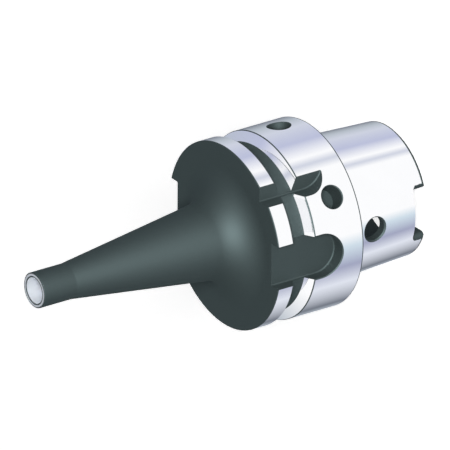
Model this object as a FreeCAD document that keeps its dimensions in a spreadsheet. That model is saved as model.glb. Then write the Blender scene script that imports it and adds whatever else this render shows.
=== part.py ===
import FreeCAD, Part
import math
import os
import re
import Sketcher

# Endmill holder with a hollow taper shank of size 50 and a slender nose.
# The frame: origin on the axis in the gauge plane, where the collar's rear face meets the
# spindle. +Z runs along the nose, +X through the keyway and the access hole that face the
# viewer, and +Y to the side of the orientation notch. Lengths are millimetres.

SIZES = (
    # Collar
    ("collar_diameter", 50.0),
    ("collar_length", 26.0),
    ("collar_edge_break", 0.2),
    # Gripper groove in the collar
    ("groove_distance", 18.0),
    ("groove_floor_width", 3.75),
    ("groove_depth", 2.6),
    ("groove_included_angle", 60.0),
    # Hollow taper shank
    ("gauge_diameter", 38.009),
    ("taper_ratio", 10.0),
    ("shank_length", 25.0),
    ("shank_edge_break", 0.5),
    ("relief_width", 0.8),
    ("relief_depth", 0.4),
    # Inside of the shank
    ("mouth_diameter", 26.0),
    ("mouth_chamfer", 0.3),
    ("clamping_diameter", 29.0),
    ("clamping_distance", 14.13),
    ("clamping_angle", 30.0),
    ("recess_diameter", 32.0),
    ("recess_floor_distance", 1.0),
    ("recess_corner_radius", 2.0),
    # Seat of the coolant tube behind the recess
    ("tube_thread_bore", 15.0),
    ("tube_thread_length", 10.0),
    ("tube_seal_bore", 12.0),
    ("tube_seal_length", 4.0),
    ("tube_lead_chamfer", 0.6),
    ("coolant_bore", 4.0),
    # Nose
    ("gauge_to_tip", 85.0),
    ("tip_diameter", 9.5),
    ("tip_length", 10.0),
    ("tip_edge_break", 0.15),
    ("nose_half_angle", 7.3),
    ("nose_root_radius", 9.0),
    # Tool bore in the tip
    ("tool_bore", 7.0),
    ("tool_bore_depth", 26.0),
    ("tool_bore_edge_break", 0.1),
    ("drill_point_angle", 118.0),
    # Keyways in the collar, one on +X and a wider one on -X
    ("near_keyway_width", 12.0),
    ("far_keyway_width", 14.0),
    ("keyway_depth", 4.0),
    ("keyway_end_distance", 6.45),
    ("keyway_corner_radius", 0.4),
    # Orientation notch in the collar's edge, between +X and +Y
    ("notch_floor_inset", 9.5),
    ("notch_wall_inset", 9.5),
    ("notch_end_distance", 6.6),
    ("notch_cutter_diameter", 12.0),
    ("notch_corner_radius", 0.4),
    # Two blind round recesses in the collar's cylinder, the first placed off the notch's wall
    ("collar_hole_diameter", 6.0),
    ("collar_hole_depth", 5.2),
    ("collar_hole_distance", 7.0),
    ("first_hole_to_notch", 1.52),
    ("second_hole_angle", 97.5),
    # Access hole through the shank's wall, for clamping by hand
    ("access_hole_diameter", 6.3),
    ("access_hole_distance", 7.95),
    ("access_hole_angle", 0.0),
    ("access_hole_chamfer", 0.4),
    # Drive slots across the shank's rear end
    ("drive_slot_width", 12.4),
    ("drive_slot_depth", 4.1),
    ("drive_slot_lead_radius", 1.3),
    ("drive_slot_corner_radius", 1.3),
    # Broken edge of the milled cuts in the collar
    ("cut_edge_break", 0.25),
    # Run-out that a cut has past the surface that it opens
    ("cut_clearance", 2.0),
)

TOLERANCE = 2e-3

doc = FreeCAD.newDocument("endmill_holder")
sheet = doc.addObject("Spreadsheet::Sheet", "sizes")
for row, (alias, number) in enumerate(SIZES, start=1):
    sheet.set("A%d" % row, alias)
    sheet.set("B%d" % row, str(number))
    sheet.setAlias("B%d" % row, alias)
doc.recompute()

body = doc.addObject("PartDesign::Body", "holder_body")
body.Label = "holder_body"


def bound(expression):
    """An expression with the sheet's name before each alias, which all hold an underscore."""
    return re.sub(r"[a-z]+(_[a-z]+)+", r"sizes.\g<0>", expression)


def number_of(expression):
    """The present value of an expression of the sheet's aliases."""
    return float(sheet.evalExpression(bound(expression)))


def plane(role):
    """The body's own origin plane with this role."""
    return next(item for item in body.Origin.OriginFeatures if item.Role == role)


def new_sketch(name, role):
    """A sketch on one of the body's origin planes."""
    sketch = body.newObject("Sketcher::SketchObject", name)
    sketch.AttachmentSupport = [(plane(role), "")]
    sketch.MapMode = "FlatFace"
    return sketch


def set_coordinate(sketch, kind, axis, geometry, point, expression):
    """Hold a sketch point on an axis, or at a bound distance from the origin."""
    if number_of(expression) == 0.0:
        sketch.addConstraint(Sketcher.Constraint("PointOnObject", geometry, point, axis))
        return
    distance = Sketcher.Constraint(kind, -1, 1, geometry, point, number_of(expression))
    index = sketch.addConstraint(distance)
    sketch.setExpression("Constraints[%d]" % index, bound(expression))


def pin_point(sketch, geometry, point, place):
    """Hold a sketch point at two bound coordinates."""
    across, along = place
    set_coordinate(sketch, "DistanceX", -2, geometry, point, across)
    set_coordinate(sketch, "DistanceY", -1, geometry, point, along)


def draw_outline(sketch, places):
    """A closed outline of straight lines through bound corners."""
    corners = [FreeCAD.Vector(number_of(x), number_of(y), 0) for x, y in places]
    count = len(corners)
    for index in range(count):
        sketch.addGeometry(Part.LineSegment(corners[index], corners[(index + 1) % count]))
    for index in range(count):
        following = (index + 1) % count
        sketch.addConstraint(Sketcher.Constraint("Coincident", index, 2, following, 1))
    for index, place in enumerate(places):
        pin_point(sketch, index, 1, place)


def draw_open_slot(sketch, middle, width, end, top):
    """A slot with a full round at its end, open towards the top."""
    left = "%s - %s / 2" % (middle, width)
    right = "%s + %s / 2" % (middle, width)
    centre = "%s + %s / 2" % (end, width)
    corners = [(left, centre), (left, top), (right, top), (right, centre)]
    spots = [FreeCAD.Vector(number_of(x), number_of(y), 0) for x, y in corners]
    for first, second in zip(spots, spots[1:]):
        sketch.addGeometry(Part.LineSegment(first, second))
    hub = FreeCAD.Vector(number_of(middle), number_of(centre), 0)
    round_end = Part.Circle(hub, FreeCAD.Vector(0, 0, 1), number_of(width) / 2)
    sketch.addGeometry(Part.ArcOfCircle(round_end, math.pi, 2 * math.pi))
    arc = 3
    sketch.addConstraint(Sketcher.Constraint("Coincident", 0, 2, 1, 1))
    sketch.addConstraint(Sketcher.Constraint("Coincident", 1, 2, 2, 1))
    sketch.addConstraint(Sketcher.Constraint("Coincident", 2, 2, arc, 2))
    sketch.addConstraint(Sketcher.Constraint("Coincident", arc, 1, 0, 1))
    for line, place in enumerate(corners[:3]):
        pin_point(sketch, line, 1, place)
    pin_point(sketch, 2, 2, corners[3])
    set_coordinate(sketch, "DistanceY", -1, arc, 3, centre)


def turn(kind, name, places):
    """A revolved feature about the axis, from an outline of radius and height."""
    sketch = new_sketch(name + "_outline", "XZ_Plane")
    draw_outline(sketch, places)
    feature = body.newObject(kind, name)
    feature.Profile = sketch
    feature.ReferenceAxis = (sketch, ["V_Axis"])
    feature.Angle = 360.0
    doc.recompute()
    return feature


def mill(name, sketch, outward):
    """A pocket through everything on one side of a sketch."""
    feature = body.newObject("PartDesign::Pocket", name)
    feature.Profile = sketch
    feature.Type = "ThroughAll"
    feature.Reversed = outward
    doc.recompute()
    return feature


def pick_edges(test):
    """The names of the tip feature's edges that pass a test."""
    edges = enumerate(body.Tip.Shape.Edges, start=1)
    return ["Edge%d" % index for index, edge in edges if test(edge)]


def is_ring(edge, radius, height):
    """Whether an edge is a circle about the axis, of this radius at this height."""
    curve = edge.Curve
    if not isinstance(curve, Part.Circle) or abs(abs(curve.Axis.z) - 1) > TOLERANCE:
        return False
    about_axis = math.hypot(curve.Center.x, curve.Center.y) < TOLERANCE
    right_size = abs(curve.Radius - radius) < TOLERANCE
    return about_axis and right_size and abs(curve.Center.z - height) < TOLERANCE


def dress(kind, name, measure, size, test):
    """A fillet or chamfer on the edges that pass a test."""
    base = body.Tip
    picked = pick_edges(test)
    if not picked:
        raise RuntimeError("%s found no edge" % name)
    feature = body.newObject(kind, name)
    feature.Base = (base, picked)
    feature.setExpression(measure, bound(size))
    doc.recompute()
    return feature


def break_rings(name, size, rings):
    """A chamfer on turned edges, each given by its radius and height."""
    places = [(number_of(radius), number_of(height)) for radius, height in rings]
    return dress("PartDesign::Chamfer", name, "Size", size,
                 lambda edge: any(is_ring(edge, *place) for place in places))


# Turned outside: shank, collar and nose in one piece

REAR_RADIUS = "gauge_diameter / 2 - shank_length / taper_ratio / 2"
NOSE_ROOT = ("tip_diameter / 2 + (gauge_to_tip - tip_length - collar_length)"
             " * tan(nose_half_angle)")

turn("PartDesign::Revolution", "turned_blank", [
    ("0", "-shank_length"),
    (REAR_RADIUS, "-shank_length"),
    ("gauge_diameter / 2", "0"),
    ("collar_diameter / 2", "0"),
    ("collar_diameter / 2", "collar_length"),
    (NOSE_ROOT, "collar_length"),
    ("tip_diameter / 2", "gauge_to_tip - tip_length"),
    ("tip_diameter / 2", "gauge_to_tip"),
    ("0", "gauge_to_tip"),
])
dress("PartDesign::Fillet", "nose_root", "Radius", "nose_root_radius",
      lambda edge: is_ring(edge, number_of(NOSE_ROOT), number_of("collar_length")))

# Gripper groove: straight flanks at the included angle down to a flat floor

GROOVE_FLOOR = "collar_diameter / 2 - groove_depth"
GROOVE_MOUTH_HALF = "groove_floor_width / 2 + groove_depth * tan(groove_included_angle / 2)"
FLANK_RUN_OUT = "cut_clearance * tan(groove_included_angle / 2)"

turn("PartDesign::Groove", "gripper_groove", [
    (GROOVE_FLOOR, "groove_distance - groove_floor_width / 2"),
    (GROOVE_FLOOR, "groove_distance + groove_floor_width / 2"),
    ("collar_diameter / 2 + cut_clearance",
     "groove_distance + " + GROOVE_MOUTH_HALF + " + " + FLANK_RUN_OUT),
    ("collar_diameter / 2 + cut_clearance",
     "groove_distance - (" + GROOVE_MOUTH_HALF + " + " + FLANK_RUN_OUT + ")"),
])

# Relief at the root of the taper, so that the gauge face can seat

turn("PartDesign::Groove", "gauge_relief", [
    ("gauge_diameter / 2 - relief_width / 2", "0"),
    ("gauge_diameter / 2", "relief_depth"),
    ("gauge_diameter / 2 + relief_width", "relief_depth"),
    ("gauge_diameter / 2 + relief_width", "-cut_clearance"),
    ("gauge_diameter / 2 + relief_width / 4", "-cut_clearance"),
])

# Hollow of the shank: mouth, clamping bevel and the recess that the grippers expand in

BEVEL_RUN = "/ 2 / tan(clamping_angle)"
BEVEL_FOOT = "clamping_distance + (clamping_diameter - mouth_diameter) " + BEVEL_RUN
BEVEL_HEAD = "clamping_distance - (recess_diameter - clamping_diameter) " + BEVEL_RUN

turn("PartDesign::Groove", "shank_hollow", [
    ("0", "-shank_length - cut_clearance"),
    ("mouth_diameter / 2", "-shank_length - cut_clearance"),
    ("mouth_diameter / 2", "-(" + BEVEL_FOOT + ")"),
    ("recess_diameter / 2", "-(" + BEVEL_HEAD + ")"),
    ("recess_diameter / 2", "-recess_floor_distance"),
    ("0", "-recess_floor_distance"),
])
dress("PartDesign::Fillet", "recess_corner", "Radius", "recess_corner_radius",
      lambda edge: is_ring(edge, number_of("recess_diameter / 2"),
                           number_of("-recess_floor_distance")))

# Coolant way: threaded seat of the tube, seal bore, and the bore through the nose

POINT_TANGENT = "tan(drill_point_angle / 2)"
THREAD_END = "tube_thread_length - recess_floor_distance"
SEAL_END = THREAD_END + " + tube_seal_length"
SEAL_POINT = SEAL_END + " + (tube_seal_bore - coolant_bore) / 2 / " + POINT_TANGENT
BORE_END = "gauge_to_tip - tool_bore_depth"
BORE_POINT = BORE_END + " - (tool_bore - coolant_bore) / 2 / " + POINT_TANGENT

turn("PartDesign::Groove", "coolant_way", [
    ("0", "-recess_floor_distance - cut_clearance"),
    ("tube_thread_bore / 2", "-recess_floor_distance - cut_clearance"),
    ("tube_thread_bore / 2", THREAD_END),
    ("tube_seal_bore / 2", THREAD_END),
    ("tube_seal_bore / 2", SEAL_END),
    ("coolant_bore / 2", SEAL_POINT),
    ("coolant_bore / 2", BORE_POINT),
    ("tool_bore / 2", BORE_END),
    ("tool_bore / 2", "gauge_to_tip + cut_clearance"),
    ("0", "gauge_to_tip + cut_clearance"),
])

# Broken edges of the turned form

break_rings("collar_edges", "collar_edge_break", [
    ("collar_diameter / 2", "0"),
    ("collar_diameter / 2", "groove_distance - (" + GROOVE_MOUTH_HALF + ")"),
    ("collar_diameter / 2", "groove_distance + " + GROOVE_MOUTH_HALF),
    ("collar_diameter / 2", "collar_length"),
])
break_rings("shank_edge", "shank_edge_break", [(REAR_RADIUS, "-shank_length")])
break_rings("mouth_edge", "mouth_chamfer", [("mouth_diameter / 2", "-shank_length")])
break_rings("tube_lead", "tube_lead_chamfer", [
    ("tube_thread_bore / 2", "-recess_floor_distance"),
])
break_rings("tip_edge", "tip_edge_break", [("tip_diameter / 2", "gauge_to_tip")])
break_rings("bore_edge", "tool_bore_edge_break", [("tool_bore / 2", "gauge_to_tip")])

# Round recesses in the collar and the access hole, all square to the axis


def is_hole_rim(edge, diameter, angle, distance, inner_wall):
    """Whether an edge is the outer rim of a round hole that is square to the axis."""
    turned = math.radians(number_of(angle))
    for point in edge.discretize(7):
        across = point.y * math.cos(turned) - point.x * math.sin(turned)
        outward = point.x * math.cos(turned) + point.y * math.sin(turned)
        spread = math.hypot(across, point.z - number_of(distance))
        if abs(spread - number_of(diameter) / 2) > TOLERANCE:
            return False
        if outward < number_of(inner_wall) + TOLERANCE:
            return False
    return True


def radial_hole(name, diameter, angle, distance, floor, inner_wall, edge_break):
    """A round hole from a floor outward, with its outer rim broken."""
    sketch = new_sketch(name + "_outline", "YZ_Plane")
    turned = FreeCAD.Rotation(FreeCAD.Vector(0, 1, 0), number_of(angle))
    sketch.AttachmentOffset = FreeCAD.Placement(FreeCAD.Vector(), turned)
    sketch.setExpression("AttachmentOffset.Rotation.Angle", bound(angle))
    sketch.setExpression("AttachmentOffset.Base.x", bound("(%s) * sin(%s)" % (floor, angle)))
    sketch.setExpression("AttachmentOffset.Base.z", bound("(%s) * cos(%s)" % (floor, angle)))
    centre = FreeCAD.Vector(0, number_of(distance), 0)
    sketch.addGeometry(Part.Circle(centre, FreeCAD.Vector(0, 0, 1), number_of(diameter) / 2))
    pin_point(sketch, 0, 3, ("0", distance))
    index = sketch.addConstraint(Sketcher.Constraint("Diameter", 0, number_of(diameter)))
    sketch.setExpression("Constraints[%d]" % index, bound(diameter))
    mill(name, sketch, True)
    dress("PartDesign::Chamfer", name + "_edge", "Size", edge_break,
          lambda edge: is_hole_rim(edge, diameter, angle, distance, inner_wall))


NOTCH_FLOOR = "collar_diameter / 2 - notch_floor_inset"
NOTCH_WALL = "collar_diameter / 2 - notch_wall_inset"
FIRST_HOLE_ANGLE = "asin((" + NOTCH_WALL + " - first_hole_to_notch) / (collar_diameter / 2))"
COLLAR_HOLE_FLOOR = "collar_diameter / 2 - collar_hole_depth"

for hole, place in (("first", FIRST_HOLE_ANGLE), ("second", "second_hole_angle")):
    radial_hole(hole + "_collar_hole", "collar_hole_diameter", place, "collar_hole_distance",
                COLLAR_HOLE_FLOOR, COLLAR_HOLE_FLOOR, "cut_edge_break")
radial_hole("access_hole", "access_hole_diameter", "access_hole_angle",
            "-access_hole_distance", "mouth_diameter / 2", "recess_diameter / 2",
            "access_hole_chamfer")

# Keyways for the tool changer and the orientation notch, all open to the collar's front face


def follows_slot(edge, middle, width, end):
    """Whether an edge, seen along X, lies on the outline of a round-ended slot."""
    half = number_of(width) / 2
    hub = number_of(end) + half
    for point in edge.discretize(5):
        across = point.y - number_of(middle)
        beyond = min(point.z - hub, 0.0)
        if abs(math.hypot(across, beyond) - half) > TOLERANCE:
            return False
    return True


def lies_in_floor(edge, floor):
    """Whether an edge lies in a milled floor square to X."""
    return all(abs(point.x - floor) < TOLERANCE for point in edge.discretize(3))


def opens_on_collar(edge):
    """Whether an edge lies on the collar's cylinder, between its rear face and the groove."""
    radius = number_of("collar_diameter / 2")
    on_cylinder = all(abs(math.hypot(point.x, point.y) - radius) < TOLERANCE
                      for point in edge.discretize(5))
    return on_cylinder and edge.CenterOfMass.z < number_of("groove_distance")


def round_slot(name, middle, width, end, floor, outward, corner_radius):
    """A round-ended cut down to a floor square to X, with a small round at the floor."""
    sketch = new_sketch(name + "_outline", "YZ_Plane")
    sketch.setExpression("AttachmentOffset.Base.z", bound(floor))
    draw_open_slot(sketch, middle, width, end, "collar_length + cut_clearance")
    mill(name, sketch, outward)
    place = number_of(floor)
    dress("PartDesign::Fillet", name + "_corner", "Radius", corner_radius,
          lambda edge: lies_in_floor(edge, place) and follows_slot(edge, middle, width, end))


def keyway(side, floor, outward):
    """One keyway on the axis, with its edge broken on the collar's cylinder."""
    name = side + "_keyway"
    width = side + "_keyway_width"
    end = "keyway_end_distance"
    round_slot(name, "0", width, end, floor, outward, "keyway_corner_radius")
    dress("PartDesign::Chamfer", name + "_edge", "Size", "cut_edge_break",
          lambda edge: opens_on_collar(edge) and follows_slot(edge, "0", width, end))


keyway("near", "collar_diameter / 2 - keyway_depth", True)
keyway("far", "keyway_depth - collar_diameter / 2", False)
round_slot("orientation_notch", NOTCH_WALL + " + notch_cutter_diameter / 2",
           "notch_cutter_diameter", "notch_end_distance", NOTCH_FLOOR, True,
           "notch_corner_radius")

# Drive slots: one cut straight across both walls of the shank

slot_outline = new_sketch("drive_slot_outline", "YZ_Plane")
SLOT_FLOOR = "drive_slot_depth - shank_length"
draw_outline(slot_outline, [
    ("-drive_slot_width / 2", "-shank_length - cut_clearance"),
    ("drive_slot_width / 2", "-shank_length - cut_clearance"),
    ("drive_slot_width / 2", SLOT_FLOOR),
    ("-drive_slot_width / 2", SLOT_FLOOR),
])
drive_slots = body.newObject("PartDesign::Pocket", "drive_slots")
drive_slots.Profile = slot_outline
drive_slots.Type = "ThroughAll"
drive_slots.Midplane = True
doc.recompute()


def is_slot_lead(edge):
    """Whether an edge is the outer one of a drive slot's wall, along the taper."""
    across = number_of("drive_slot_width / 2")
    reach = number_of("mouth_diameter / 2 + mouth_chamfer + shank_edge_break")
    middle = edge.CenterOfMass
    on_wall = all(abs(abs(vertex.Y) - across) < TOLERANCE for vertex in edge.Vertexes)
    along = edge.BoundBox.ZLength > number_of("drive_slot_depth") / 2
    return on_wall and along and math.hypot(middle.x, middle.y) > reach


def is_slot_corner(edge):
    """Whether an edge is where a drive slot's wall meets its floor."""
    box = edge.BoundBox
    across = number_of("drive_slot_width / 2")
    on_floor = max(abs(box.ZMin - number_of(SLOT_FLOOR)),
                   abs(box.ZMax - number_of(SLOT_FLOOR))) < TOLERANCE
    straight = box.YLength < TOLERANCE and abs(abs(box.YMin) - across) < TOLERANCE
    return on_floor and straight


dress("PartDesign::Fillet", "drive_slot_leads", "Radius", "drive_slot_lead_radius",
      is_slot_lead)
dress("PartDesign::Fillet", "drive_slot_corners", "Radius", "drive_slot_corner_radius",
      is_slot_corner)

doc.recompute()
for item in doc.Objects:
    if "Invalid" in item.State or "Error" in item.State:
        raise RuntimeError("%s failed: %s" % (item.Name, item.State))
if body.Shape.isNull() or not body.Shape.isValid():
    raise RuntimeError("holder_body has no valid shape")

os.makedirs("parts", exist_ok=True)
body.Shape.exportStep("parts/holder_body.step")
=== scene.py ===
import math

import bmesh
import bpy
from mathutils import Matrix, Vector


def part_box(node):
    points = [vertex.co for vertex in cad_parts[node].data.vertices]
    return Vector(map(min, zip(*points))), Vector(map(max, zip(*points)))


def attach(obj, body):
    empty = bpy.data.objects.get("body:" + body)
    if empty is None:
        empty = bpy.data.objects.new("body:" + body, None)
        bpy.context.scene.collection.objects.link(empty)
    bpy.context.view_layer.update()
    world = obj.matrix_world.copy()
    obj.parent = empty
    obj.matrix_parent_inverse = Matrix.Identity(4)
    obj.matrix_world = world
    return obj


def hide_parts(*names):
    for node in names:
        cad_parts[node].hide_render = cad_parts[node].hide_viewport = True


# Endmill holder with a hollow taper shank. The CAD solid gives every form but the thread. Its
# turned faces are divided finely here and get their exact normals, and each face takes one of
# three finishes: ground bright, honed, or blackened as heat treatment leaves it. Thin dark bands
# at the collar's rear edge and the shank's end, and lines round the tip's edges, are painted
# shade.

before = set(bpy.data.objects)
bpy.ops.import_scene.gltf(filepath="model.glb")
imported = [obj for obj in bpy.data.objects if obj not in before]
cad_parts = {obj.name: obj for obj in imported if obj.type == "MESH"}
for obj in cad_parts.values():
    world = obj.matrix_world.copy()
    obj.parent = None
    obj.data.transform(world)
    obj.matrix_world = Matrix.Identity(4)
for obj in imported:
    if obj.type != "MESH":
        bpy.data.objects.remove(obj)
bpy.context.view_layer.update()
MM = 0.001
NODE = "holder_body"


# Sizes of the turned form, in metres, as the solid has them

low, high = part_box(NODE)
COLLAR_RADIUS = high.x
REAR_END = low.z
TIP_END = high.z
COLLAR_FRONT = 26 * MM
GROOVE_MIDDLE = 18 * MM
GROOVE_HALF_FLOOR = 3.75 / 2 * MM
GROOVE_FLOOR_RADIUS = 22.4 * MM
GROOVE_HALF_ANGLE = math.radians(30)
GAUGE_RADIUS = 38.009 / 2 * MM
TAPER_SLOPE = 1 / 20
TIP_RADIUS = 4.75 * MM
TIP_START = TIP_END - 10 * MM
NOSE_ANGLE = math.radians(7.3)
ROOT_RADIUS = 9 * MM
MOUTH_RADIUS = 13 * MM
RECESS_RADIUS = 16 * MM
BEVEL_SLOPE = math.tan(math.radians(30))
BEVEL_PLACE = (14.5 * MM, -14.13 * MM)
THREAD_RADIUS = 7.5 * MM
THREAD_ENDS = (-0.4 * MM, 9 * MM)
THREAD_PITCH = 1 * MM
SEAL_RADIUS = 6 * MM
SEAL_END = 13 * MM
TOOL_BORE_RADIUS = 3.5 * MM
TOOL_BORE_FLOOR = 59 * MM
COOLANT_RADIUS = 2 * MM
RECESS_TOP = -3 * MM
# Heights where the painted shade bands end: dark bands painted along the collar's rear edge and
# round the shank's end
COLLAR_SHADE_BAND = 0.4 * MM
SHANK_SHADE_BAND = REAR_END + 0.85 * MM

# How closely the points and the facings of the solid's facets follow their true surface
FACET_SLACK = 0.075 * MM
FACING_MATCH = 0.97


# Turned surfaces: lines and one round in the plane of radius and height

def straight(first, last):
    """A cone or cylinder between two points, with the metal to the left of the way it runs."""
    run = Vector(last) - Vector(first)
    facing = Vector((run.y, -run.x)).normalized()

    def measure(place):
        return (place - Vector(first)).dot(facing), facing
    return measure, min(first[1], last[1]), max(first[1], last[1])


def hollow_round(centre, radius, bottom, top):
    """A round whose middle lies outside the metal."""
    def measure(place):
        inward = Vector(centre) - place
        return radius - inward.length, inward.normalized()
    return measure, bottom, top


def nose_root_centre():
    """Radius and height of the middle of the round between the nose's cone and the collar."""
    height = COLLAR_FRONT + ROOT_RADIUS
    cone_radius = TIP_RADIUS + (TIP_START - height) * math.tan(NOSE_ANGLE)
    return cone_radius + ROOT_RADIUS / math.cos(NOSE_ANGLE), height


ROOT_CENTRE = nose_root_centre()
ROOT_TOP = (ROOT_CENTRE[0] - ROOT_RADIUS * math.cos(NOSE_ANGLE),
            ROOT_CENTRE[1] - ROOT_RADIUS * math.sin(NOSE_ANGLE))
FLANK_RUN = (COLLAR_RADIUS - GROOVE_FLOOR_RADIUS) * math.tan(GROOVE_HALF_ANGLE)
GROOVE_LOW = GROOVE_MIDDLE - GROOVE_HALF_FLOOR
GROOVE_HIGH = GROOVE_MIDDLE + GROOVE_HALF_FLOOR
REAR_LIP = GROOVE_LOW - FLANK_RUN
FRONT_LIP = GROOVE_HIGH + FLANK_RUN
BEVEL_FOOT = BEVEL_PLACE[1] - (BEVEL_PLACE[0] - MOUTH_RADIUS) / BEVEL_SLOPE
BEVEL_HEAD = BEVEL_PLACE[1] + (RECESS_RADIUS - BEVEL_PLACE[0]) / BEVEL_SLOPE


def cylinder(radius, bottom, top):
    return straight((radius, bottom), (radius, top))


def bore(radius, bottom, top):
    return straight((radius, top), (radius, bottom))


def taper(bottom, top):
    return straight((GAUGE_RADIUS + bottom * TAPER_SLOPE, bottom),
                    (GAUGE_RADIUS + top * TAPER_SLOPE, top))


TURNED = (
    # Painted shade: a dark band painted along the collar's rear edge
    ("black", cylinder(COLLAR_RADIUS, 0.0, COLLAR_SHADE_BAND)),
    ("ground", cylinder(COLLAR_RADIUS, COLLAR_SHADE_BAND, REAR_LIP)),
    ("ground", cylinder(COLLAR_RADIUS, FRONT_LIP, COLLAR_FRONT)),
    ("ground", straight((COLLAR_RADIUS, REAR_LIP), (GROOVE_FLOOR_RADIUS, GROOVE_LOW))),
    ("ground", straight((GROOVE_FLOOR_RADIUS, GROOVE_HIGH), (COLLAR_RADIUS, FRONT_LIP))),
    ("black", cylinder(GROOVE_FLOOR_RADIUS, GROOVE_LOW, GROOVE_HIGH)),
    # Painted shade: a dark band painted round the shank's end
    ("black", taper(REAR_END, SHANK_SHADE_BAND)),
    ("ground", taper(SHANK_SHADE_BAND, 0.0)),
    ("black", hollow_round(ROOT_CENTRE, ROOT_RADIUS, COLLAR_FRONT, ROOT_TOP[1])),
    ("black", straight(ROOT_TOP, (TIP_RADIUS, TIP_START))),
    ("black", cylinder(TIP_RADIUS, TIP_START, TIP_END)),
    ("black", bore(MOUTH_RADIUS, REAR_END, BEVEL_FOOT)),
    ("black", straight((RECESS_RADIUS, BEVEL_HEAD), (MOUTH_RADIUS, BEVEL_FOOT))),
    ("black", bore(RECESS_RADIUS, BEVEL_HEAD, RECESS_TOP)),
    ("black", bore(THREAD_RADIUS, *THREAD_ENDS)),
    ("honed", bore(SEAL_RADIUS, THREAD_ENDS[1], SEAL_END)),
    ("black", bore(COOLANT_RADIUS, SEAL_END, TOOL_BORE_FLOOR)),
    ("honed", bore(TOOL_BORE_RADIUS, TOOL_BORE_FLOOR, TIP_END)),
)


def in_section(point):
    """A point's radius and height."""
    return Vector((math.hypot(point.x, point.y), point.z))


def turned_about(point, facing):
    """A facing in the plane of radius and height, turned to a point's own side of the axis."""
    across = Vector((point.x, point.y, 0)).normalized()
    return across * facing.x + Vector((0, 0, facing.y))


def lies_on(point, surface):
    """Whether a point lies on a turned surface."""
    measure, bottom, top = surface
    if not bottom - FACET_SLACK < point.z < top + FACET_SLACK:
        return False
    return abs(measure(in_section(point))[0]) < FACET_SLACK


def turned_row(face):
    """The turned surface that a face belongs to, with its finish, or None."""
    centre = face.calc_center_median()
    for row in TURNED:
        surface = row[1]
        facing = turned_about(centre, surface[0](in_section(centre))[1])
        on_surface = all(lies_on(vert.co, surface) for vert in face.verts)
        if on_surface and face.normal.dot(facing) > FACING_MATCH:
            return row
    return None


# The holder's mesh

SECTORS = 144
ROOT_RINGS = 24
CREASE = math.radians(24)
FLAT = 0.99999
SAME_POINT = 1e-4 * MM


def divide(mesh):
    """Cuts the facets along planes through the axis, and along rings at the nose's root."""
    cuts = []
    for index in range(SECTORS // 2):
        angle = math.pi * (index + 0.5) / (SECTORS // 2)
        cuts.append(((0, 0, 0), (-math.sin(angle), math.cos(angle), 0)))
    for index in range(1, ROOT_RINGS):
        swing = (math.pi / 2 - NOSE_ANGLE) * index / ROOT_RINGS
        height = ROOT_CENTRE[1] - ROOT_RADIUS * math.cos(swing)
        cuts.append(((0, 0, height), (0, 0, 1)))
    # Rings where the painted shade bands at the collar's rear edge and the shank's end stop
    for height in (COLLAR_SHADE_BAND, SHANK_SHADE_BAND):
        cuts.append(((0, 0, height), (0, 0, 1)))
    for place, facing in cuts:
        bmesh.ops.bisect_plane(mesh, geom=mesh.verts[:] + mesh.edges[:] + mesh.faces[:],
                               dist=SAME_POINT, plane_co=place, plane_no=facing)


def snap(mesh, rows):
    """Moves the points inside one turned surface onto its true form."""
    for vert in mesh.verts:
        near = [rows[face] for face in vert.link_faces]
        if near[0] is None or any(row is not near[0] for row in near):
            continue
        off, facing = near[0][1][0](in_section(vert.co))
        vert.co -= turned_about(vert.co, facing) * off


THREAD_TURNS = 8
THREAD_STEPS = 72
THREAD_START = 0.6
THREAD_FADE_STEPS = THREAD_STEPS / 4
THREAD_RIDGE = ((0.03 * MM, -0.42 * MM), (-0.40 * MM, -0.06 * MM),
                (-0.40 * MM, 0.06 * MM), (0.03 * MM, 0.42 * MM))


def add_thread(mesh):
    """The coolant tube's thread: one ridge wound up the bore of its seat."""
    rings = []
    last = THREAD_TURNS * THREAD_STEPS
    for step in range(last + 1):
        turn = 2 * math.pi * step / THREAD_STEPS
        height = THREAD_ENDS[0] + THREAD_PITCH * (THREAD_START + step / THREAD_STEPS)
        fade = min(1, (step + 1) / THREAD_FADE_STEPS, (last - step + 1) / THREAD_FADE_STEPS)
        ring = []
        for off, rise in THREAD_RIDGE:
            reach = THREAD_RADIUS + (off * fade if off < 0 else off)
            place = (reach * math.cos(turn), reach * math.sin(turn), height + rise * fade)
            ring.append(mesh.verts.new(place))
        rings.append(ring)
    faces = [mesh.faces.new(rings[0]), mesh.faces.new(rings[-1])]
    for near, far in zip(rings, rings[1:]):
        for side in range(len(near)):
            faces.append(mesh.faces.new((near[side - 1], near[side], far[side], far[side - 1])))
    bmesh.ops.recalc_face_normals(mesh, faces=faces)


def finish_of(face, row):
    """The finish of a turned, flat or milled face."""
    if row:
        return row[0]
    centre = face.calc_center_median()
    reach = math.hypot(centre.x, centre.y)
    flat = abs(face.normal.z) > FLAT
    if flat and abs(centre.z) < FACET_SLACK and reach > GAUGE_RADIUS:
        return "ground"
    if flat and abs(centre.z - TIP_END) < FACET_SLACK:
        return "honed"
    return "black"


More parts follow.
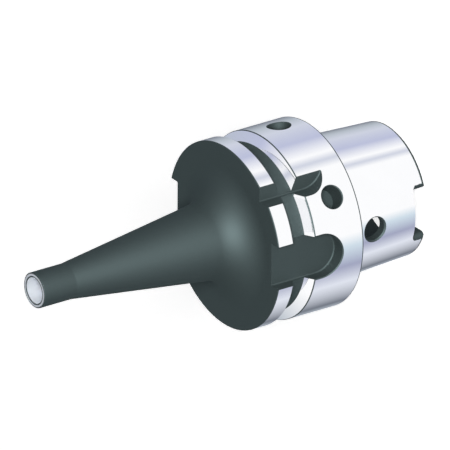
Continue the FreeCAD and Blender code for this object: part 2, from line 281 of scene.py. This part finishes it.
def holder_mesh(finishes):
    """The holder as a fine mesh, with each face's finish, and exact normals where it is turned."""
    mesh = bmesh.new()
    mesh.from_mesh(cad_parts[NODE].data)
    bmesh.ops.remove_doubles(mesh, verts=mesh.verts[:], dist=SAME_POINT)
    divide(mesh)
    mesh.normal_update()
    rows = {face: turned_row(face) for face in mesh.faces}
    snap(mesh, rows)
    add_thread(mesh)
    mesh.normal_update()
    for face in mesh.faces:
        face.smooth = True
        face.material_index = finishes.index(finish_of(face, rows.get(face)))
    for edge in mesh.edges:
        edge.smooth = len(edge.link_faces) == 2 and edge.calc_face_angle(0.0) < CREASE
    faces = [(rows.get(face), face.normal.copy()) for face in mesh.faces]
    data = bpy.data.meshes.new("holder")
    mesh.to_mesh(data)
    mesh.free()
    normals = [Vector((0, 0, 0))] * len(data.loops)
    for polygon, (row, facing) in zip(data.polygons, faces):
        for loop in polygon.loop_indices:
            point = data.vertices[data.loops[loop].vertex_index].co
            if row:
                normals[loop] = turned_about(point, row[1][0](in_section(point))[1])
            elif max(abs(part) for part in facing) > FLAT:
                normals[loop] = facing
    data.normals_split_custom_set(normals)
    return data


# Finishes

STEEL = (0.93, 0.935, 0.95)
STEEL_ROUGHNESS = (0.04, 0.08)
HONED = (0.90, 0.93, 0.97)
HONED_ROUGHNESS = (0.30, 0.40)
BLACKENED = (0.041, 0.055, 0.056)
BLACKENED_ROUGHNESS = (0.66, 0.74)

# Middles and half width of the painted shade lines, dark lines round the tip's two edges, as
# distances from the axis
TIP_SHADE_LINES = (TOOL_BORE_RADIUS + 0.2 * MM, TIP_RADIUS - 0.2 * MM)
TIP_SHADE_LINE_HALF_WIDTH = 0.15 * MM


def new_material(name):
    """A node material, its tree and its Principled shader."""
    material = bpy.data.materials.new(name)
    material.use_nodes = True
    tree = material.node_tree
    return material, tree, tree.nodes["Principled BSDF"]


def noise(tree, scale, detail, stretch):
    """Noise on a scale of millimetres, stretched along the axes."""
    place = tree.nodes.new("ShaderNodeNewGeometry")
    mapping = tree.nodes.new("ShaderNodeMapping")
    mapping.inputs["Scale"].default_value = [part / MM for part in stretch]
    tree.links.new(place.outputs["Position"], mapping.inputs["Vector"])
    texture = tree.nodes.new("ShaderNodeTexNoise")
    texture.inputs["Scale"].default_value = scale
    texture.inputs["Detail"].default_value = detail
    tree.links.new(mapping.outputs["Vector"], texture.inputs["Vector"])
    return texture.outputs["Fac"]


def between(tree, factor, first, last):
    """A colour that runs from first to last with a factor."""
    mix = tree.nodes.new("ShaderNodeMix")
    mix.data_type = "RGBA"
    mix.inputs["A"].default_value = (*first, 1)
    mix.inputs["B"].default_value = (*last, 1)
    tree.links.new(factor, mix.inputs["Factor"])
    return mix.outputs["Result"]


def spread(tree, factor, low_value, high_value):
    """A number that runs from low to high with a factor."""
    span = tree.nodes.new("ShaderNodeMapRange")
    span.inputs["To Min"].default_value = low_value
    span.inputs["To Max"].default_value = high_value
    tree.links.new(factor, span.inputs["Value"])
    return span.outputs["Result"]


def bump(tree, height, strength, distance):
    """A bump from a height."""
    node = tree.nodes.new("ShaderNodeBump")
    node.inputs["Strength"].default_value = strength
    node.inputs["Distance"].default_value = distance
    tree.links.new(height, node.inputs["Height"])
    return node.outputs["Normal"]


def ground_steel():
    """Bright steel with the faint rings that a grinding wheel leaves round the axis."""
    material, tree, shader = new_material("ground_steel")
    rings = noise(tree, 1.0, 3.0, (0.02, 0.02, 9.0))
    clouds = noise(tree, 0.15, 2.0, (1, 1, 1))
    tint = between(tree, clouds, [part * 0.97 for part in STEEL], STEEL)
    tree.links.new(tint, shader.inputs["Base Color"])
    tree.links.new(spread(tree, rings, *STEEL_ROUGHNESS), shader.inputs["Roughness"])
    tree.links.new(bump(tree, rings, 0.04, 0.002 * MM), shader.inputs["Normal"])
    shader.inputs["Metallic"].default_value = 1.0
    return material


def radius_of(tree):
    """Distance from the holder's axis."""
    place = tree.nodes.new("ShaderNodeNewGeometry")
    flat = tree.nodes.new("ShaderNodeVectorMath")
    flat.operation = "MULTIPLY"
    flat.inputs[1].default_value = (1, 1, 0)
    tree.links.new(place.outputs["Position"], flat.inputs[0])
    length = tree.nodes.new("ShaderNodeVectorMath")
    length.operation = "LENGTH"
    tree.links.new(flat.outputs["Vector"], length.inputs[0])
    return length.outputs["Value"]


def honed_steel():
    """Fine matt steel of the tip's face and the bores, with a dark line of painted shade round
    each of the tip's two edges.
    """
    material, tree, shader = new_material("honed_steel")
    grain = noise(tree, 1.5, 3.0, (1, 1, 0.3))
    tint = between(tree, grain, [part * 0.94 for part in HONED], HONED)
    radius = radius_of(tree)
    for middle in TIP_SHADE_LINES:
        # Painted shade: a dark line in the oxide's colour, painted on the flat face beside one of
        # the tip's edges
        shade_line = tree.nodes.new("ShaderNodeMath")
        shade_line.operation = "COMPARE"
        shade_line.inputs[1].default_value = middle
        shade_line.inputs[2].default_value = TIP_SHADE_LINE_HALF_WIDTH
        tree.links.new(radius, shade_line.inputs[0])
        mix = tree.nodes.new("ShaderNodeMix")
        mix.data_type = "RGBA"
        mix.inputs["B"].default_value = (*BLACKENED, 1)
        tree.links.new(tint, mix.inputs["A"])
        tree.links.new(shade_line.outputs[0], mix.inputs["Factor"])
        tint = mix.outputs["Result"]
    tree.links.new(tint, shader.inputs["Base Color"])
    tree.links.new(spread(tree, grain, *HONED_ROUGHNESS), shader.inputs["Roughness"])
    shader.inputs["Metallic"].default_value = 0.3
    return material


def blackened_steel():
    """Steel left with its dark blue-green oxide skin, smooth and softly glossy."""
    material, tree, shader = new_material("blackened_steel")
    grain = noise(tree, 2.2, 4.0, (1, 1, 1))
    rings = noise(tree, 1.0, 2.0, (0.05, 0.05, 5.0))
    tint = between(tree, grain, [part * 0.9 for part in BLACKENED],
                   [part * 1.1 for part in BLACKENED])
    tree.links.new(tint, shader.inputs["Base Color"])
    tree.links.new(spread(tree, grain, *BLACKENED_ROUGHNESS), shader.inputs["Roughness"])
    tree.links.new(bump(tree, rings, 0.08, 0.004 * MM), shader.inputs["Normal"])
    shader.inputs["Metallic"].default_value = 0.7
    shader.inputs["Specular IOR Level"].default_value = 0.03
    shader.inputs["Specular Tint"].default_value = (0.33, 0.33, 0.33, 1)
    return material


FINISHES = {"ground": ground_steel(), "honed": honed_steel(), "black": blackened_steel()}
holder = bpy.data.objects.new("holder", holder_mesh(list(FINISHES)))
bpy.context.scene.collection.objects.link(holder)
for material in FINISHES.values():
    holder.data.materials.append(material)
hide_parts(NODE)
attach(holder, "root")


# Camera: a parallel view, at the photograph's angle and roll

TO_CAMERA = Vector((0.7427, 0.4237, 0.518)).normalized()
IMAGE_RIGHT = Vector((0.5697, 0.0057, -0.8215)).normalized()
IMAGE_UP = TO_CAMERA.cross(IMAGE_RIGHT).normalized()
PIXELS = 450
PIXELS_PER_MM = 3.92
GAUGE_PIXEL = (308.07, 211.46)
CAMERA_DISTANCE = 0.6

right_shift = (PIXELS / 2 - GAUGE_PIXEL[0]) / PIXELS_PER_MM * MM
up_shift = (GAUGE_PIXEL[1] - PIXELS / 2) / PIXELS_PER_MM * MM
look_at = IMAGE_RIGHT * right_shift + IMAGE_UP * up_shift
lens = bpy.data.cameras.new("camera")
lens.type = "ORTHO"
lens.ortho_scale = PIXELS / PIXELS_PER_MM * MM
lens.clip_start = 0.01
lens.clip_end = 5
camera = bpy.data.objects.new("camera", lens)
turn = Matrix((IMAGE_RIGHT, IMAGE_UP, TO_CAMERA)).transposed()
camera.matrix_world = Matrix.Translation(look_at + TO_CAMERA * CAMERA_DISTANCE) @ turn.to_4x4()
bpy.context.scene.collection.objects.link(camera)
bpy.context.scene.camera = camera


# Studio: the walls round the holder, as its bright faces mirror them

WHITE = (1.06, 1.06, 1.06)
ICE = (0.68, 0.79, 0.87)
MIST = (0.81, 0.84, 0.92)
HAZE = (0.67, 0.70, 0.80)
LILAC = (0.54, 0.57, 0.75)
DUSK = (0.39, 0.41, 0.56)
PALE = (0.50, 0.55, 0.61)
SLATE = (0.18, 0.20, 0.24)

# Bearing round the studio in degrees from +X, and the wall's colour there: a broad white wall
# before the holder, a few tinted strips beside it, and dark corners behind. The groove's flank
# and the tip look up, over the lower wall.
LOWER_WALL = (
    (-145, PALE), (-120, SLATE), (-75, MIST), (-50, DUSK), (-25, ICE), (-10, WHITE),
    (75, WHITE), (85, HAZE), (95, WHITE), (120, LILAC), (150, HAZE), (170, PALE), (200, SLATE),
)
UPPER_WALL = (
    (-130, PALE), (-100, WHITE), (140, WHITE), (160, LILAC), (200, PALE),
)

# Heights of a ray's direction between which the lower wall gives way to the upper one
LOWER_TO_UPPER = (-0.2, 0.2)

# The even light that matt faces get from all round
AMBIENT = 0.04


def ramp(tree, factor, stops):
    """A wall's colours, each at its bearing."""
    node = tree.nodes.new("ShaderNodeValToRGB")
    stops = sorted((bearing % 360 / 360, colour) for bearing, colour in stops)
    elements = node.color_ramp.elements
    while len(elements) < len(stops):
        elements.new(0.5)
    for element, (place, colour) in zip(elements, stops):
        element.position = place
        element.color = (*colour, 1)
    tree.links.new(factor, node.inputs["Fac"])
    return node.outputs["Color"]


def maths(tree, operation, first, second):
    """One sum of two numbers or outputs."""
    node = tree.nodes.new("ShaderNodeMath")
    node.operation = operation
    for socket, value in zip(node.inputs, (first, second)):
        if isinstance(value, (int, float)):
            socket.default_value = value
        else:
            tree.links.new(value, socket)
    return node.outputs[0]


def wall_above(tree, height, limits, lower, upper):
    """A lower wall's colour, and an upper wall's above the limits."""
    rise = tree.nodes.new("ShaderNodeMapRange")
    rise.interpolation_type = "SMOOTHSTEP"
    rise.inputs["From Min"].default_value = limits[0]
    rise.inputs["From Max"].default_value = limits[1]
    tree.links.new(height, rise.inputs["Value"])
    mix = tree.nodes.new("ShaderNodeMix")
    mix.data_type = "RGBA"
    tree.links.new(rise.outputs["Result"], mix.inputs["Factor"])
    tree.links.new(lower, mix.inputs["A"])
    tree.links.new(upper, mix.inputs["B"])
    return mix.outputs["Result"]


def studio_world():
    """White to the camera, coloured walls to mirrors, and an even pale light to the rest."""
    world = bpy.data.worlds.new("studio")
    bpy.context.scene.world = world
    world.use_nodes = True
    tree = world.node_tree
    tree.nodes.clear()
    place = tree.nodes.new("ShaderNodeTexCoord")
    parts = tree.nodes.new("ShaderNodeSeparateXYZ")
    tree.links.new(place.outputs["Generated"], parts.inputs[0])
    angle = maths(tree, "ARCTAN2", parts.outputs["Y"], parts.outputs["X"])
    bearing = maths(tree, "FRACT", maths(tree, "DIVIDE", angle, 2 * math.pi), 0)
    walls = wall_above(tree, parts.outputs["Z"], LOWER_TO_UPPER,
                       ramp(tree, bearing, LOWER_WALL), ramp(tree, bearing, UPPER_WALL))
    mirrored = background(tree, 1.0)
    tree.links.new(walls, mirrored.inputs["Color"])
    plain = background(tree, AMBIENT)
    shown = background(tree, 1.0)
    kind = tree.nodes.new("ShaderNodeLightPath")
    lit = blend(tree, kind.outputs["Is Glossy Ray"], plain, mirrored)
    seen = blend(tree, kind.outputs["Is Camera Ray"], lit, shown)
    output = tree.nodes.new("ShaderNodeOutputWorld")
    tree.links.new(seen.outputs[0], output.inputs["Surface"])


def background(tree, strength):
    """A white light of some strength."""
    node = tree.nodes.new("ShaderNodeBackground")
    node.inputs["Color"].default_value = (1, 1, 1, 1)
    node.inputs["Strength"].default_value = strength
    return node


def blend(tree, factor, first, last):
    """One shader or the other, by a factor."""
    node = tree.nodes.new("ShaderNodeMixShader")
    tree.links.new(factor, node.inputs["Fac"])
    tree.links.new(first.outputs[0], node.inputs[1])
    tree.links.new(last.outputs[0], node.inputs[2])
    return node


LAMP_SIZE = 0.9
LAMP_DISTANCE = 2.5
KEY_POWER = 45.0
SHEEN_POWER = 275.0
HOLDER_MIDDLE = Vector((0, 0, 30 * MM))


def soft_lamp(name, power):
    """A round lamp that faces the holder's middle from the camera's side."""
    lamp = bpy.data.lights.new(name, "AREA")
    lamp.shape = "DISK"
    lamp.size = LAMP_SIZE
    lamp.energy = power
    thing = bpy.data.objects.new(name, lamp)
    thing.location = HOLDER_MIDDLE + TO_CAMERA * LAMP_DISTANCE
    thing.rotation_mode = "QUATERNION"
    thing.rotation_quaternion = TO_CAMERA.to_track_quat("Z", "Y")
    bpy.context.scene.collection.objects.link(thing)
    return thing


studio_world()
soft_lamp("key_lamp", KEY_POWER)
soft_lamp("sheen_lamp", SHEEN_POWER).visible_diffuse = False


# Floor under the shank's end, white to the camera and clear to mirrors

FLOOR_REACH = 3.0
FLOOR_COLOUR = (0.8, 0.8, 0.8)
FLOOR_LIFT = 0.8


def studio_floor():
    """A white floor that keeps the holder's shadow."""
    mesh = bmesh.new()
    bmesh.ops.create_circle(mesh, cap_ends=True, segments=96, radius=FLOOR_REACH)
    data = bpy.data.meshes.new("floor")
    mesh.to_mesh(data)
    mesh.free()
    floor = bpy.data.objects.new("floor", data)
    floor.location.z = REAR_END
    bpy.context.scene.collection.objects.link(floor)
    material = bpy.data.materials.new("floor_white")
    material.use_nodes = True
    tree = material.node_tree
    tree.nodes.clear()
    kind = tree.nodes.new("ShaderNodeLightPath")
    matt = tree.nodes.new("ShaderNodeBsdfDiffuse")
    matt.inputs["Color"].default_value = (*FLOOR_COLOUR, 1)
    glow = tree.nodes.new("ShaderNodeEmission")
    tree.links.new(maths(tree, "MULTIPLY", kind.outputs["Is Camera Ray"], FLOOR_LIFT),
                   glow.inputs["Strength"])
    lifted = tree.nodes.new("ShaderNodeAddShader")
    tree.links.new(matt.outputs[0], lifted.inputs[0])
    tree.links.new(glow.outputs[0], lifted.inputs[1])
    clear = tree.nodes.new("ShaderNodeBsdfTransparent")
    whole = blend(tree, kind.outputs["Is Glossy Ray"], lifted, clear)
    output = tree.nodes.new("ShaderNodeOutputMaterial")
    tree.links.new(whole.outputs[0], output.inputs["Surface"])
    data.materials.append(material)


studio_floor()
bpy.context.scene.view_settings.view_transform = "Standard"
